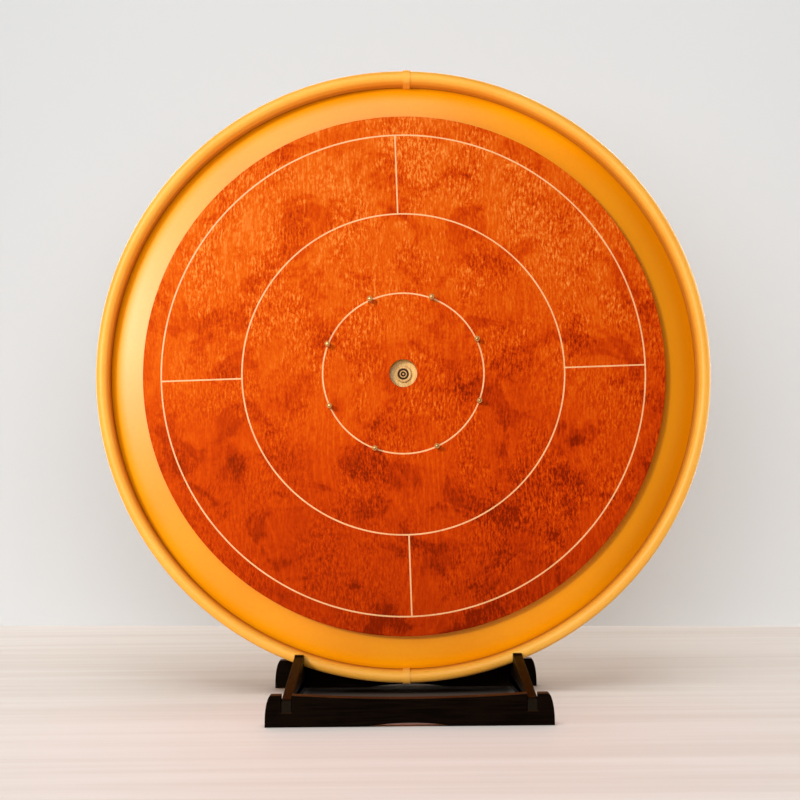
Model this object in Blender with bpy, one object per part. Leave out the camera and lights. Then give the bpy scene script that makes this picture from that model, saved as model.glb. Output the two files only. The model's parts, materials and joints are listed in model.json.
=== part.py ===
# A round flicking-game board, standing on its edge in a stand of four slotted boards.
# Metres, +Z up. The origin is on the floor, under the middle of the whole object.
# The board faces -Y. It is modelled lying flat, face up, under an empty that stands it up.
import math

import bmesh
import bpy

for leftover in list(bpy.data.objects):
    bpy.data.objects.remove(leftover)

MM = 0.001
GAP = 0.3 * MM  # between pieces that touch on the real object

# How the board stands
LEAN = math.radians(3.3)  # the top leans back
FACE_CENTRE_Y = 60 * MM  # middle of the playing face, from the origin
FACE_CENTRE_Z = 397.6 * MM
PATTERN_TURN = math.radians(1.5)  # the pegs' pattern is turned a little in the stand

# Board, in its own flat frame: z = 0 is the playing face, the back is below it
PLY = 12.7 * MM  # both plywood discs
SURFACE_RADIUS = 329.2 * MM
RAIL_INSIDE = 370.8 * MM
RAIL_WIDTH = 14.6 * MM
RAIL_TOP = 12.7 * MM
BACK = -2 * PLY
BASE_RADIUS = RAIL_INSIDE - GAP
RAIL_OUTSIDE = RAIL_INSIDE + RAIL_WIDTH
ROUND_SEGMENTS = 96
RAIL_SEGMENTS = 48  # in each half hoop

# Joint bands over the ends of the rail's halves
TOP_JOINT = math.radians(88.9)
BOTTOM_JOINT = math.radians(-89.9)
BAND_LENGTH = 9 * MM
BAND_THICKNESS = 1.2 * MM

# Centre hole and its button
HOLE_RADIUS = 17.5 * MM
BUTTON_RADIUS = 10.4 * MM
BUTTON_HEIGHT = 3.4 * MM
BUTTON_DISH = 7.5 * MM  # radius of the shallow dish in the button

# Pegs
PEG_COUNT = 8
PEG_RING = 101.6 * MM
PIN_RADIUS = 1.8 * MM
PIN_TOP = 13.3 * MM
SLEEVE_RADIUS = 3.1 * MM
SLEEVE_TOP = 14 * MM
PIN_HOLE = PIN_RADIUS + GAP

# Countersunk screws
RAIL_SCREW_ANGLES = (20, 58, 122, 160, 200, 238, 302, 340)
RAIL_SCREW_LENGTH = 30 * MM
SURFACE_SCREW_RING = 235 * MM
SURFACE_SCREW_LENGTH = 21 * MM
FOOT_SCREW_LENGTH = 14 * MM
SHANK_RADIUS = 1.8 * MM
HEAD_RADIUS = 3.8 * MM
HEAD_HEIGHT = 2.2 * MM
SCREW_SINK = 0.5 * MM  # how far a head lies below its face

# Rubber feet
FOOT_RING = 300 * MM
FOOT_RADIUS = 13 * MM
FOOT_HEIGHT = 8 * MM
FOOT_SCREW_HEAD = BACK - GAP - FOOT_HEIGHT / 2  # height of the head's flat, in the foot's pocket

# Stand. Its pieces are in the row's own frame.
STAND_X = 3 * MM  # the stand sits a little to the right under the board
PLANK_THICKNESS = 11 * MM
PLANK_FRONT_Y = -145 * MM  # front face of the front plank
PLANK_REAR_Y = 72 * MM  # front face of the rear plank
FRONT_PLANK_LENGTH = 316 * MM
REAR_PLANK_LENGTH = 332 * MM
REAR_SHIFT = -3 * MM  # its ends sit this much further along x than the front plank's
PLANK_END_HEIGHT = 35 * MM
PLANK_MIDDLE_HEIGHT = 30.5 * MM
ARCH_HALF = 68 * MM
ARCH_RISE = 4 * MM
END_CURVE = 7.4 * MM  # each end curves in this far from its foot to the top edge
END_FOOT = 4 * MM  # height of the upright foot under the curve
PLATE_THICKNESS = 11 * MM
PLATE_SPACING = 268 * MM
SLOT_FLOOR = 16 * MM
NOSE_TOP = 30 * MM
NOSE_CHAMFER = 4 * MM  # length of the nose's sloping end
NOSE_LIP = 11 * MM  # height of the nose's front face above the slot's floor
HORN_TOP = 50 * MM
HORN_THICKNESS = 10 * MM
SEAT_CLEARANCE = 0.8 * MM  # on each side of the board's thickness
BACK_HORN_TOP = 100 * MM
BACK_HORN_THICKNESS = 14 * MM
TAIL_Y = 145 * MM
TAIL_TOP = 24 * MM
TAIL_FOOT = 32 * MM
PLATE_LIFT = 6 * MM  # the plate's underside between its feet


def material(name, color, roughness, metallic=0.0):
    made = bpy.data.materials.new(name)
    made.use_nodes = True
    shader = made.node_tree.nodes["Principled BSDF"]
    shader.inputs["Base Color"].default_value = (*color, 1)
    shader.inputs["Roughness"].default_value = roughness
    shader.inputs["Metallic"].default_value = metallic
    made.diffuse_color = (*color, 1)
    return made


stained_veneer = material("stained_veneer", (0.70, 0.09, 0.005), 0.35)
yellow_paint = material("yellow_paint", (0.85, 0.38, 0.03), 0.35)
band_paint = material("band_paint", (0.95, 0.60, 0.18), 0.35)
bare_wood = material("bare_wood", (0.80, 0.52, 0.25), 0.5)
tan_tube = material("tan_tube", (0.75, 0.50, 0.25), 0.6)
steel = material("steel", (0.45, 0.42, 0.38), 0.35, 1.0)
black_rubber = material("black_rubber", (0.02, 0.02, 0.02), 0.8)
dark_wood = material("dark_wood", (0.018, 0.008, 0.005), 0.4)


def solid(name, bm, finish, parent=None):
    """A closed mesh made into an object, with its faces turned out and its round sides smooth."""
    bmesh.ops.recalc_face_normals(bm, faces=bm.faces)
    mesh = bpy.data.meshes.new(name)
    bm.to_mesh(mesh)
    bm.free()
    mesh.materials.append(finish)
    mesh.shade_smooth()
    mesh.set_sharp_from_angle(angle=math.radians(32))
    made = bpy.data.objects.new(name, mesh)
    bpy.context.scene.collection.objects.link(made)
    made.parent = parent
    return made


def turned(name, profile, segments, finish, parent=None, start=0.0, sweep=None):
    """The (radius, z) outline carried round Z: all the way, or from start through sweep with flat ends."""
    bm = bmesh.new()
    steps = segments if sweep is None else segments + 1
    rings = []
    for step in range(steps):
        angle = start + (math.tau if sweep is None else sweep) * step / segments
        ring = []
        for index, (radius, z) in enumerate(profile):
            if radius == 0 and step:
                ring.append(rings[0][index])
            else:
                ring.append(bm.verts.new((radius * math.cos(angle), radius * math.sin(angle), z)))
        rings.append(ring)
    pairs = list(zip(rings, rings[1:]))
    if sweep is None:
        pairs.append((rings[-1], rings[0]))
    for here, there in pairs:
        for index in range(len(profile)):
            after = (index + 1) % len(profile)
            corners = []
            for vertex in (here[index], here[after], there[after], there[index]):
                if vertex not in corners:
                    corners.append(vertex)
            if len(corners) > 2:
                bm.faces.new(corners)
    if sweep is not None:
        bm.faces.new(rings[0])
        bm.faces.new(rings[-1])
    return solid(name, bm, finish, parent)


def sawn(name, outline, thickness, finish, facing="Y"):
    """A board cut to an (along, z) outline. It faces -Y and runs along X, or faces -X and runs along Y."""
    bm = bmesh.new()
    corners = []
    for along, z in outline:
        corners.append(bm.verts.new((along, 0, z) if facing == "Y" else (0, along, z)))
    face = bm.faces.new(corners)
    grown = bmesh.ops.extrude_face_region(bm, geom=[face])
    moved = [item for item in grown["geom"] if isinstance(item, bmesh.types.BMVert)]
    shift = (0, thickness, 0) if facing == "Y" else (thickness, 0, 0)
    bmesh.ops.translate(bm, verts=moved, vec=shift)
    return solid(name, bm, finish)


def cut(piece, cutters):
    """Cuts the cutters from the piece for good, and removes them."""
    for cutter in cutters:
        cutter.hide_render = True
        cutter.display_type = "WIRE"
        boolean = piece.modifiers.new("cut", "BOOLEAN")
        boolean.object = cutter
        boolean.operation = "DIFFERENCE"
    bpy.context.view_layer.update()
    evaluated = piece.evaluated_get(bpy.context.evaluated_depsgraph_get())
    result = bpy.data.meshes.new_from_object(evaluated)
    piece.modifiers.clear()
    plain = piece.data
    piece.data = result
    result.name = plain.name
    bpy.data.meshes.remove(plain)
    for cutter in cutters:
        bpy.data.objects.remove(cutter)


def arc(centre, radius, first, last, steps):
    """Points of a circle from the first angle to the last, in degrees, ends included."""
    points = []
    for step in range(steps + 1):
        angle = math.radians(first + (last - first) * step / steps)
        points.append((centre[0] + radius * math.cos(angle), centre[1] + radius * math.sin(angle)))
    return points


def on_circle(radius, angle, z=0.0):
    return radius * math.cos(angle), radius * math.sin(angle), z


# ---- Board ----
board_frame = bpy.data.objects.new("board_frame", None)
bpy.context.scene.collection.objects.link(board_frame)
board_frame.location = (0, FACE_CENTRE_Y, FACE_CENTRE_Z)
board_frame.rotation_euler = (math.pi / 2 - LEAN, 0, 0)

peg_angles = [PATTERN_TURN + math.tau * (index + 0.5) / PEG_COUNT for index in range(PEG_COUNT)]
quarter_angles = [PATTERN_TURN + math.tau * (index + 0.5) / 4 for index in range(4)]
rail_screw_angles = [math.radians(angle) for angle in RAIL_SCREW_ANGLES]
rail_screw_z = BACK + PLY / 2


def drill(radius, low, high, parent=board_frame, segments=12):
    """A round cutter along Z."""
    profile = [(0, high), (radius, high), (radius, low), (0, low)]
    return turned("drill", profile, segments, steel, parent)


def countersink(low, top, parent=board_frame):
    """A cutter for a countersunk screw whose head lies just under the height top."""
    neck = SHANK_RADIUS + GAP
    mouth = HEAD_RADIUS + GAP
    brim = top - SCREW_SINK
    profile = [
        (0, top + 1 * MM),
        (mouth, top + 1 * MM),
        (mouth, brim - GAP),
        (neck, brim - HEAD_HEIGHT - GAP),
        (neck, low),
        (0, low),
    ]
    return turned("countersink", profile, 12, steel, parent)


def screw_mesh(length):
    """A slotted countersunk screw, its head up and its flat top at z = 0."""
    profile = [
        (0, 0),
        (HEAD_RADIUS, 0),
        (HEAD_RADIUS, -0.3 * MM),
        (SHANK_RADIUS, -HEAD_HEIGHT),
        (SHANK_RADIUS, 4 * MM - length),
        (0, -length),
    ]
    made = turned("screw", profile, 12, steel)
    bm = bmesh.new()
    bmesh.ops.create_cube(bm, size=1)
    bmesh.ops.scale(bm, verts=bm.verts, vec=(4 * HEAD_RADIUS, 1.1 * MM, 2.2 * MM))
    cut(made, [solid("screw_slot", bm, steel)])
    mesh = made.data
    bpy.data.objects.remove(made)
    return mesh


def place(name, mesh, location, rotation=(0, 0, 0)):
    made = bpy.data.objects.new(name, mesh)
    bpy.context.scene.collection.objects.link(made)
    made.parent = board_frame
    made.location = location
    made.rotation_euler = rotation
    return made


def base_board():
    profile = [(0, BACK), (BASE_RADIUS, BACK), (BASE_RADIUS, -PLY), (0, -PLY)]
    base = turned("base_board", profile, ROUND_SEGMENTS, yellow_paint, board_frame)
    holes = []
    for angle in quarter_angles:
        hole = countersink(-BACK - PLY - 2 * MM, -BACK)
        hole.rotation_euler = (math.pi, 0, 0)
        hole.location = on_circle(SURFACE_SCREW_RING, angle)
        holes.append(hole)
        foot_hole = drill(SHANK_RADIUS + GAP, BACK - 2 * MM, FOOT_SCREW_HEAD + FOOT_SCREW_LENGTH)
        foot_hole.location = on_circle(FOOT_RING, angle)
        holes.append(foot_hole)
    for angle in rail_screw_angles:
        inner = RAIL_OUTSIDE - SCREW_SINK - RAIL_SCREW_LENGTH - GAP
        hole = drill(SHANK_RADIUS + GAP, inner, RAIL_OUTSIDE)
        hole.rotation_euler = (0, math.pi / 2, angle)
        hole.location = (0, 0, rail_screw_z)
        holes.append(hole)
    cut(base, holes)


def playing_surface():
    low = GAP - PLY
    profile = [(HOLE_RADIUS, low), (SURFACE_RADIUS, low), (SURFACE_RADIUS, 0), (HOLE_RADIUS, 0)]
    surface = turned("playing_surface", profile, ROUND_SEGMENTS, stained_veneer, board_frame)
    holes = []
    for angle in peg_angles:
        hole = drill(PIN_HOLE, low - 2 * MM, 2 * MM)
        hole.location = on_circle(PEG_RING, angle)
        holes.append(hole)
    tip = BACK + SCREW_SINK + SURFACE_SCREW_LENGTH + GAP
    for angle in quarter_angles:
        hole = drill(SHANK_RADIUS + GAP, low - 2 * MM, tip)
        hole.location = on_circle(SURFACE_SCREW_RING, angle)
        holes.append(hole)
    cut(surface, holes)


def centre_button():
    low = GAP - PLY
    top = low + BUTTON_HEIGHT
    rim = arc((BUTTON_RADIUS - 1.2 * MM, top - 1.2 * MM), 1.2 * MM, 0, 90, 3)
    profile = [(0, low), (BUTTON_RADIUS, low)]
    profile += rim
    profile += [(BUTTON_DISH, top), (BUTTON_DISH - 0.4 * MM, top - 0.8 * MM), (0, top - 0.8 * MM)]
    turned("centre_button", profile, 32, bare_wood, board_frame)


def pegs():
    low = GAP
    inner = PIN_HOLE
    ease = 0.4 * MM
    sleeve_profile = [
        (inner, low),
        (SLEEVE_RADIUS, low),
        (SLEEVE_RADIUS, SLEEVE_TOP - ease),
        (SLEEVE_RADIUS - ease, SLEEVE_TOP),
        (inner, SLEEVE_TOP),
    ]
    foot = 2 * GAP - PLY
    pin_profile = [
        (0, foot),
        (PIN_RADIUS, foot),
        (PIN_RADIUS, PIN_TOP - ease),
        (PIN_RADIUS - ease, PIN_TOP),
        (0, PIN_TOP),
    ]
    sleeve = turned("peg_sleeve", sleeve_profile, 14, tan_tube)
    pin = turned("peg_pin", pin_profile, 10, steel)
    for index, angle in enumerate(peg_angles):
        spot = on_circle(PEG_RING, angle)
        place(f"peg_sleeve_{index + 1}", sleeve.data, spot)
        place(f"peg_pin_{index + 1}", pin.data, spot)
    bpy.data.objects.remove(sleeve)
    bpy.data.objects.remove(pin)


def rail_profile(grow=0.0):
    """(radius, z) of the rail's section, from the foot of its outer side over the round top and down."""
    nose = RAIL_WIDTH / 2
    middle = RAIL_INSIDE + nose
    return arc((middle, RAIL_TOP - nose), nose + grow, 0, 180, 10)


def rail_half(name, start, sweep, screw_angles):
    ease = 2.5 * MM
    foot = [(RAIL_INSIDE, BACK)] + arc((RAIL_OUTSIDE - ease, BACK + ease), ease, -90, 0, 3)
    rail = turned(name, foot + rail_profile(), RAIL_SEGMENTS, yellow_paint, board_frame, start, sweep)
    holes = []
    for angle in screw_angles:
        hole = countersink(RAIL_INSIDE - 3 * MM, RAIL_OUTSIDE)
        hole.rotation_euler = (0, math.pi / 2, angle)
        hole.location = (0, 0, rail_screw_z)
        holes.append(hole)
    cut(rail, holes)


def rails():
    middle = RAIL_INSIDE + RAIL_WIDTH / 2
    split = GAP / 2 / middle
    right_sweep = TOP_JOINT - BOTTOM_JOINT - 2 * split
    left_sweep = math.tau - right_sweep - 4 * split
    right_screws = [angle for angle in rail_screw_angles if math.cos(angle) > 0]
    left_screws = [angle for angle in rail_screw_angles if math.cos(angle) < 0]
    rail_half("rail_right", BOTTOM_JOINT + split, right_sweep, right_screws)
    rail_half("rail_left", TOP_JOINT + split, left_sweep, left_screws)
    outer = rail_profile(GAP + BAND_THICKNESS)
    inner = rail_profile(GAP)
    outer_wall = [(outer[0][0], BACK), *outer, (outer[-1][0], GAP - PLY)]
    inner_wall = [(inner[-1][0], GAP - PLY), *reversed(inner), (inner[0][0], BACK)]
    sweep = BAND_LENGTH / middle
    for name, angle in (("rail_joint_top", TOP_JOINT), ("rail_joint_bottom", BOTTOM_JOINT)):
        start = angle - sweep / 2
        turned(name, outer_wall + inner_wall, 2, band_paint, board_frame, start, sweep)


def feet():
    top = BACK - GAP
    low = top - FOOT_HEIGHT
    bore = SHANK_RADIUS + GAP
    pocket = HEAD_RADIUS + GAP
    floor = FOOT_SCREW_HEAD
    profile = [
        (bore, top),
        (FOOT_RADIUS, top),
        (FOOT_RADIUS - 1.5 * MM, low),
        (pocket, low),
        (pocket, floor),
        (bore, floor + HEAD_HEIGHT),
    ]
    foot = turned("foot", profile, 20, black_rubber)
    foot_screw = screw_mesh(FOOT_SCREW_LENGTH)
    for index, angle in enumerate(quarter_angles):
        x, y, z = on_circle(FOOT_RING, angle)
        place(f"rubber_foot_{index + 1}", foot.data, (x, y, z))
        place(f"foot_screw_{index + 1}", foot_screw, (x, y, floor - GAP), (math.pi, 0, 0))
    bpy.data.objects.remove(foot)


def screws():
    rail_screw = screw_mesh(RAIL_SCREW_LENGTH)
    for index, angle in enumerate(rail_screw_angles):
        spot = on_circle(RAIL_OUTSIDE - SCREW_SINK, angle, rail_screw_z)
        place(f"rail_screw_{index + 1}", rail_screw, spot, (0, math.pi / 2, angle))
    surface_screw = screw_mesh(SURFACE_SCREW_LENGTH)
    for index, angle in enumerate(quarter_angles):
        spot = on_circle(SURFACE_SCREW_RING, angle, BACK + SCREW_SINK)
        place(f"surface_screw_{index + 1}", surface_screw, spot, (math.pi, 0, 0))


# ---- Stand ----
def sag(x, half, ends, middle):
    """Height of a shallow curve that is ends high at half and middle high in the middle."""
    return middle + (ends - middle) * (x / half) ** 2


def plank_side(end):
    """Right half of a plank's outline, from its foot at x = end over the slot towards the middle."""
    slot_half = PLATE_THICKNESS / 2 + GAP
    slot_middle = PLATE_SPACING / 2
    right = [(end, 0)]
    for step in range(7):
        angle = math.pi / 2 * step / 6
        inward = END_CURVE * (1 - math.cos(angle))
        right.append((end - inward, END_FOOT + (PLANK_END_HEIGHT - END_FOOT) * math.sin(angle)))
    right += [(slot_middle + slot_half, PLANK_END_HEIGHT), (slot_middle + slot_half, SLOT_FLOOR)]
    right += [(slot_middle - slot_half, SLOT_FLOOR)]
    inner = slot_middle - slot_half
    steps = 7
    for step in range(steps):
        x = inner * (1 - step / steps)
        right.append((x, sag(x, inner, PLANK_END_HEIGHT, PLANK_MIDDLE_HEIGHT)))
    return right


def plank(name, front_y, length, shift=0.0):
    """An upright board with a hollowed top edge, an arched underside and two slots in its top edge."""
    left = [(-x, z) for x, z in reversed(plank_side(length / 2 - shift))]
    top = plank_side(length / 2 + shift) + [(0, PLANK_MIDDLE_HEIGHT)] + left
    arch = []
    rises = 12
    for step in range(rises + 1):
        share = step / rises
        x = ARCH_HALF * (2 * share - 1)
        arch.append((x, ARCH_RISE * math.sin(math.pi * share) ** 2 if 0 < step < rises else 0))
    made = sawn(name, top + arch, PLANK_THICKNESS, dark_wood)
    made.location = (STAND_X, front_y, 0)


def board_point(up, forward):
    """(y, z) of a point in the board's middle plane: up along the face, forward out of the playing face."""
    y = FACE_CENTRE_Y + up * math.sin(LEAN) - forward * math.cos(LEAN)
    z = FACE_CENTRE_Z + up * math.cos(LEAN) + forward * math.sin(LEAN)
    return y, z


def up_at_height(z, forward):
    """How far up the face a point is that has this height above the floor."""
    return (z - FACE_CENTRE_Z - forward * math.sin(LEAN)) / math.cos(LEAN)


def side_plate(name, side):
    """A notched board on edge: nose in the front plank, notch for the rail, tail behind the rear plank."""
    middle_x = STAND_X + side * PLATE_SPACING / 2
    nearest = min(abs(middle_x - PLATE_THICKNESS / 2), abs(middle_x + PLATE_THICKNESS / 2))
    seat_up = -math.sqrt(RAIL_OUTSIDE**2 - nearest**2) - GAP
    ahead = RAIL_TOP + SEAT_CLEARANCE
    behind = BACK - SEAT_CLEARANCE
    horn_y, horn_z = board_point(up_at_height(HORN_TOP, ahead), ahead)
    back_y, back_z = board_point(up_at_height(BACK_HORN_TOP, behind), behind)
    front_end = PLANK_FRONT_Y + PLANK_THICKNESS + GAP
    rear_start = PLANK_REAR_Y - GAP
    rear_end = PLANK_REAR_Y + PLANK_THICKNESS + GAP
    over_slot = SLOT_FLOOR + GAP
    outline = [
        (PLANK_FRONT_Y, over_slot),
        (PLANK_FRONT_Y, over_slot + NOSE_LIP),
        (PLANK_FRONT_Y + NOSE_CHAMFER, NOSE_TOP),
        (horn_y - HORN_THICKNESS, HORN_TOP - 1.5 * MM),
        (horn_y - HORN_THICKNESS + 1.5 * MM, HORN_TOP),
        (horn_y, horn_z),
        board_point(seat_up, ahead),
        board_point(seat_up, behind),
        (back_y, back_z),
        (back_y + BACK_HORN_THICKNESS - 3 * MM, BACK_HORN_TOP),
        (back_y + BACK_HORN_THICKNESS, BACK_HORN_TOP - 3 * MM),
        (rear_end + 8 * MM, PLANK_END_HEIGHT + 12 * MM),
        (TAIL_Y - 3 * MM, TAIL_TOP),
        (TAIL_Y, TAIL_TOP - 3 * MM),
        (TAIL_Y, 0),
        (TAIL_Y - TAIL_FOOT, 0),
        (TAIL_Y - TAIL_FOOT - PLATE_LIFT, PLATE_LIFT),
        (rear_end, PLATE_LIFT),
        (rear_end, over_slot),
        (rear_start, over_slot),
        (rear_start, PLATE_LIFT),
        (front_end, PLATE_LIFT),
        (front_end, over_slot),
    ]
    made = sawn(name, outline, PLATE_THICKNESS, dark_wood, facing="X")
    made.location = (middle_x - PLATE_THICKNESS / 2, 0, 0)


base_board()
playing_surface()
centre_button()
pegs()
rails()
screws()
feet()
plank("front_plank", PLANK_FRONT_Y, FRONT_PLANK_LENGTH)
plank("rear_plank", PLANK_REAR_Y, REAR_PLANK_LENGTH, REAR_SHIFT)
side_plate("side_plate_left", -1)
side_plate("side_plate_right", 1)
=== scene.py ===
import json
import math

import bmesh
import bpy
from mathutils import Matrix, Vector

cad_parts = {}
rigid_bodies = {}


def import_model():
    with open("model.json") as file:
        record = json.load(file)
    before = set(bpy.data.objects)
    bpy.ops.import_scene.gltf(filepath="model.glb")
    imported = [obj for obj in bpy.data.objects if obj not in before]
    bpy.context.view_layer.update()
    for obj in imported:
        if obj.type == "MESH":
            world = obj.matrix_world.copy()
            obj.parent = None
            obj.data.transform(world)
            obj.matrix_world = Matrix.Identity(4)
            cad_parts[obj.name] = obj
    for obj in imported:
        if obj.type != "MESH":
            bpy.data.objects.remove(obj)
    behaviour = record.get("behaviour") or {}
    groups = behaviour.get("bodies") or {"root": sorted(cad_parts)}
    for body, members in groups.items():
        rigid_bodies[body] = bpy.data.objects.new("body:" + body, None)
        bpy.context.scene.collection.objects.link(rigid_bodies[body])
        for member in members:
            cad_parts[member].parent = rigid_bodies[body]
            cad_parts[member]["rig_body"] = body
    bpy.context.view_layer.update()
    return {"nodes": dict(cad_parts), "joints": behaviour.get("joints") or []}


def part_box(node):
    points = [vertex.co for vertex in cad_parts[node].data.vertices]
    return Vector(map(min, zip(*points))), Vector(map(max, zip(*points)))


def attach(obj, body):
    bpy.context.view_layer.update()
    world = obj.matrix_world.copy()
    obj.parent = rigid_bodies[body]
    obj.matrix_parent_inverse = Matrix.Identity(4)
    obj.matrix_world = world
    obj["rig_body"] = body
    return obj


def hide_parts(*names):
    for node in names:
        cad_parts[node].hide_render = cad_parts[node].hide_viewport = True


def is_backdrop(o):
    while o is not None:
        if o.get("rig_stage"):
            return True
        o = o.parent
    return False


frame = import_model()
mm = 0.001
roundSegments = 720  # for the large circles
sharpAngle = math.radians(34)  # edges that turn more than this stay sharp
print("frame loaded:", len(frame["nodes"]), "nodes")


# the board's own frame: x right, y up the face, z out of it, zero in the middle of the playing face
upFace = Vector(frame["joints"][0]["axis"])
outOfFace = Vector((0, -upFace.z, upFace.y))
plyThickness = 12.7 * mm
baseLow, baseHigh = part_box("base_board")
faceCentre = (baseLow + baseHigh) / 2 + outOfFace * plyThickness * 1.5
faceCentre.x = 0
boardPlace = Matrix.Translation(faceCentre) @ Matrix.Rotation(math.acos(upFace.y), 4, "X")


# shader wiring
class Wire:
    # wraps a socket, so that a sum or a product of wires becomes a Math node
    def __init__(self, finish, socket):
        self.finish = finish
        self.socket = socket

    def maths(self, operation, *values):
        return self.finish.node("Math", {"operation": operation}, dict(enumerate(values)))

    def __add__(self, other):
        return self.maths("ADD", self, other)

    def __sub__(self, other):
        return self.maths("SUBTRACT", self, other)

    def __rsub__(self, other):
        return self.maths("SUBTRACT", other, self)

    def __mul__(self, other):
        return self.maths("MULTIPLY", self, other)

    def __truediv__(self, other):
        return self.maths("DIVIDE", self, other)

    __radd__ = __add__
    __rmul__ = __mul__

    def root(self):
        return self.maths("SQRT", self)

    def size(self):
        return self.maths("ABSOLUTE", self)

    def wave(self):
        return self.maths("SINE", self)

    def most(self, other):
        return self.maths("MAXIMUM", self, other)


class Finish:
    # one material: a Principled shader, and the nodes that feed it
    def __init__(self, name, **fixed):
        self.material = bpy.data.materials.new(name)
        self.material.use_nodes = True
        self.tree = self.material.node_tree
        self.shader = self.tree.nodes["Principled BSDF"]
        for socket, value in fixed.items():
            self.shader.inputs[socket.replace("_", " ")].default_value = value
        self.place = self.node("TexCoord", output="Object")

    def node(self, kind, settings=None, sockets=None, output=0):
        made = self.tree.nodes.new("ShaderNode" + kind)
        for key, value in (settings or {}).items():
            if key == "stops":
                self.setStops(made.color_ramp, value)
            else:
                setattr(made, key, value)
        for key, value in (sockets or {}).items():
            self.feed(made.inputs[key], value)
        return Wire(self, made.outputs[output])

    def setStops(self, ramp, stops):
        while len(ramp.elements) < len(stops):
            ramp.elements.new(1.0)
        for element, (position, color) in zip(ramp.elements, stops):
            element.position = position
            element.color = (*color, 1)

    def feed(self, socket, value):
        if isinstance(value, Wire):
            self.tree.links.new(value.socket, socket)
        else:
            socket.default_value = value

    def set(self, socket, value):
        self.feed(self.shader.inputs[socket], value)

    def scaled(self, scale, shift, at=None):
        sockets = {0: at or self.place, 1: scale, 2: shift}
        return self.node("VectorMath", {"operation": "MULTIPLY_ADD"}, sockets)

    def grainNoise(self, scale, detail=2.0, rough=0.5, shift=(0, 0, 0), at=None, distort=0.0):
        # scale is cells per metre along each axis
        spot = self.scaled(scale, shift, at)
        sockets = {"Vector": spot, "Scale": 1.0, "Detail": detail, "Roughness": rough, "Distortion": distort}
        return self.node("TexNoise", {"noise_dimensions": "3D"}, sockets, "Fac")

    def cells(self, scale, shift):
        sockets = {"Vector": self.scaled(scale, shift), "Scale": 1.0}
        return self.node("TexVoronoi", {"feature": "F1"}, sockets, "Distance")

    def band(self, value, low, high, bottom=0.0, top=1.0):
        # a smooth step from bottom to top as value goes from low to high
        sockets = {"Value": value, "From Min": low, "From Max": high, "To Min": bottom, "To Max": top}
        return self.node("MapRange", {"interpolation_type": "SMOOTHSTEP"}, sockets)

    def ramp(self, value, stops):
        return self.node("ValToRGB", {"stops": stops}, {"Fac": value})

    def mix(self, first, second, factor):
        settings = {"data_type": "RGBA", "blend_type": "MIX", "clamp_result": False}
        return self.node("Mix", settings, {0: factor, 6: self.tint(first), 7: self.tint(second)}, 2)

    def tint(self, color):
        return color if isinstance(color, Wire) or len(color) == 4 else (*color, 1)

    def parts(self, vector):
        return [self.node("SeparateXYZ", None, {0: vector}, axis) for axis in range(3)]

    def fromAxis(self):
        # distance from the local z axis
        x, y = self.parts(self.place)[:2]
        return (x * x + y * y).root()

    def point(self, x, y, z):
        return self.node("CombineXYZ", None, {0: x, 1: y, 2: z})

    def bump(self, height, depth):
        # height runs 0 to 1 and stands for depth metres
        sockets = {"Height": height, "Distance": depth, "Strength": 1.0}
        self.set("Normal", self.node("Bump", None, sockets))


# mesh tools
def fillet(corners, steps=4):
    # corners are (x, y, radius); a corner with a radius is rounded
    points = []
    count = len(corners)
    for index, (x, y, radius) in enumerate(corners):
        here = Vector((x, y))
        before = Vector(corners[index - 1][:2]) - here
        after = Vector(corners[(index + 1) % count][:2]) - here
        if not radius:
            points.append((x, y))
            continue
        half = before.angle(after) / 2
        reach = min(radius / math.tan(half), before.length * 0.49, after.length * 0.49)
        real = reach * math.tan(half)
        middle = here + (before.normalized() + after.normalized()).normalized() * real / math.sin(half)
        first = here + before.normalized() * reach - middle
        last = here + after.normalized() * reach - middle
        sweep = math.atan2(first.x * last.y - first.y * last.x, first.dot(last))
        start = math.atan2(first.y, first.x)
        for step in range(steps + 1):
            angle = start + sweep * step / steps
            points.append((middle.x + real * math.cos(angle), middle.y + real * math.sin(angle)))
    return points


def arc(middle, radius, first, last, steps):
    points = []
    for step in range(steps + 1):
        angle = math.radians(first + (last - first) * step / steps)
        points.append((middle[0] + radius * math.cos(angle), middle[1] + radius * math.sin(angle)))
    return points


def onCircle(radius, angle, z=0.0):
    return Vector((radius * math.cos(angle), radius * math.sin(angle), z))


def meshPiece(name, bm, finishes, body, place, replaced=()):
    bmesh.ops.recalc_face_normals(bm, faces=bm.faces)
    mesh = bpy.data.meshes.new(name)
    bm.to_mesh(mesh)
    bm.free()
    for finish in finishes if isinstance(finishes, list) else [finishes]:
        mesh.materials.append(finish.material)
    mesh.shade_smooth()
    mesh.set_sharp_from_angle(angle=sharpAngle)
    piece = bpy.data.objects.new(name, mesh)
    bpy.context.scene.collection.objects.link(piece)
    piece.matrix_world = place
    weighted = piece.modifiers.new("flatFaces", "WEIGHTED_NORMAL")
    weighted.keep_sharp = True
    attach(piece, body)
    if replaced:
        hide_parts(*replaced)


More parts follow.
